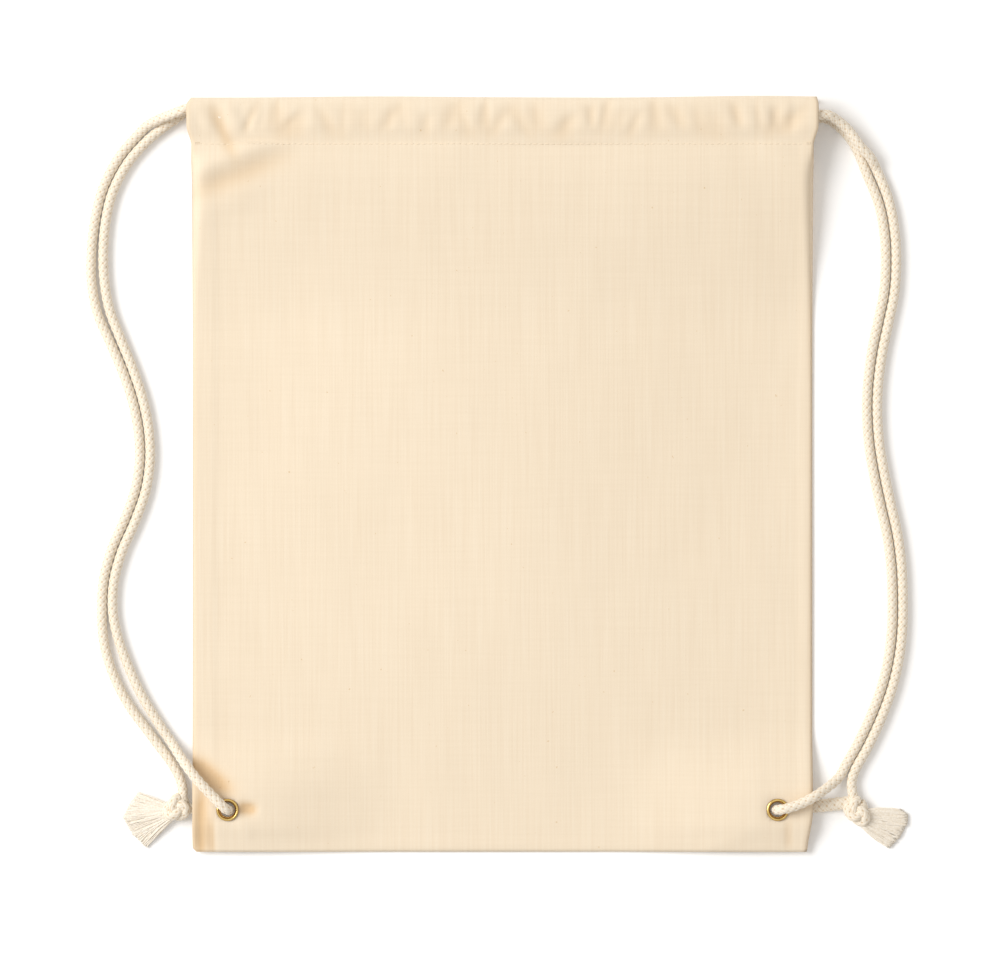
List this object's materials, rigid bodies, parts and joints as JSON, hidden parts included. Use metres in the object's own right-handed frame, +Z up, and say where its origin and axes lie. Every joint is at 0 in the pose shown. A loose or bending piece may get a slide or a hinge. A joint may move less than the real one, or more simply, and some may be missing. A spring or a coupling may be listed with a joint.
{
  "type": "drawstring backpack",
  "caption": "Flat cotton canvas drawstring bag with channel mouth, doubled braided cord straps, brass corner eyelets, overhand knots and frayed tassels, lying on its back.",
  "frame": {"origin": "under the middle of the bag, on the surface it lies on, halfway along its height and across its width", "axes": "+Z up out of the bag's front, +Y along the bag's height towards its mouth, +X across the bag"},
  "size_m": [0.4904, 0.45, 0.021],
  "materials": {
    "canvas": "matt unbleached cotton canvas, plain weave with fine slubs",
    "cord": "matt braided natural cotton cord",
    "tassel": "loose frayed cotton yarns",
    "thread": "cotton sewing thread",
    "brass": "polished gold-coloured brass"
  },
  "bodies": {
    "bag": {"back_panel": "canvas", "front_panel": "canvas", "left_side_seam": "canvas", "right_side_seam": "canvas", "bottom_seam": "canvas", "front_channel": "canvas", "back_channel": "canvas", "front_channel_stitching": "thread", "back_channel_stitching": "thread", "left_eyelet": "brass", "left_eyelet_washer": "brass", "right_eyelet": "brass", "right_eyelet_washer": "brass", "left_cord_run": "cord", "right_cord_run": "cord", "left_cord_to_knot": "cord", "left_cord_to_eyelet": "cord", "right_cord_to_eyelet": "cord", "left_knot": "cord"},
    "left_strap": {"left_strap_outer": "cord", "left_strap_inner": "cord"},
    "right_strap": {"right_strap_outer": "cord", "right_strap_inner": "cord", "right_knot": "cord"},
    "left_tassel": {"left_tassel": "tassel"},
    "right_tassel": {"right_tassel": "tassel"}
  },
  "joints": [
    {"name": "left_strap_swing", "type": "hinge", "parent": "bag", "child": "left_strap", "pos_m": [-0.187, 0, 0.0135], "axis": [0, 1, 0], "range_deg": [0, 160]},
    {"name": "right_strap_swing", "type": "hinge", "parent": "bag", "child": "right_strap", "pos_m": [0.187, 0, 0.0135], "axis": [0, -1, 0], "range_deg": [0, 160]},
    {"name": "left_tassel_swing", "type": "hinge", "parent": "bag", "child": "left_tassel", "pos_m": [-0.1955, -0.199, 0.0052], "axis": [0, 0, 1], "range_deg": [-20, 20]},
    {"name": "right_tassel_swing", "type": "hinge", "parent": "right_strap", "child": "right_tassel", "pos_m": [0.2114, -0.2009, 0.0052], "axis": [0, 0, 1], "range_deg": [-20, 20]}
  ]
}
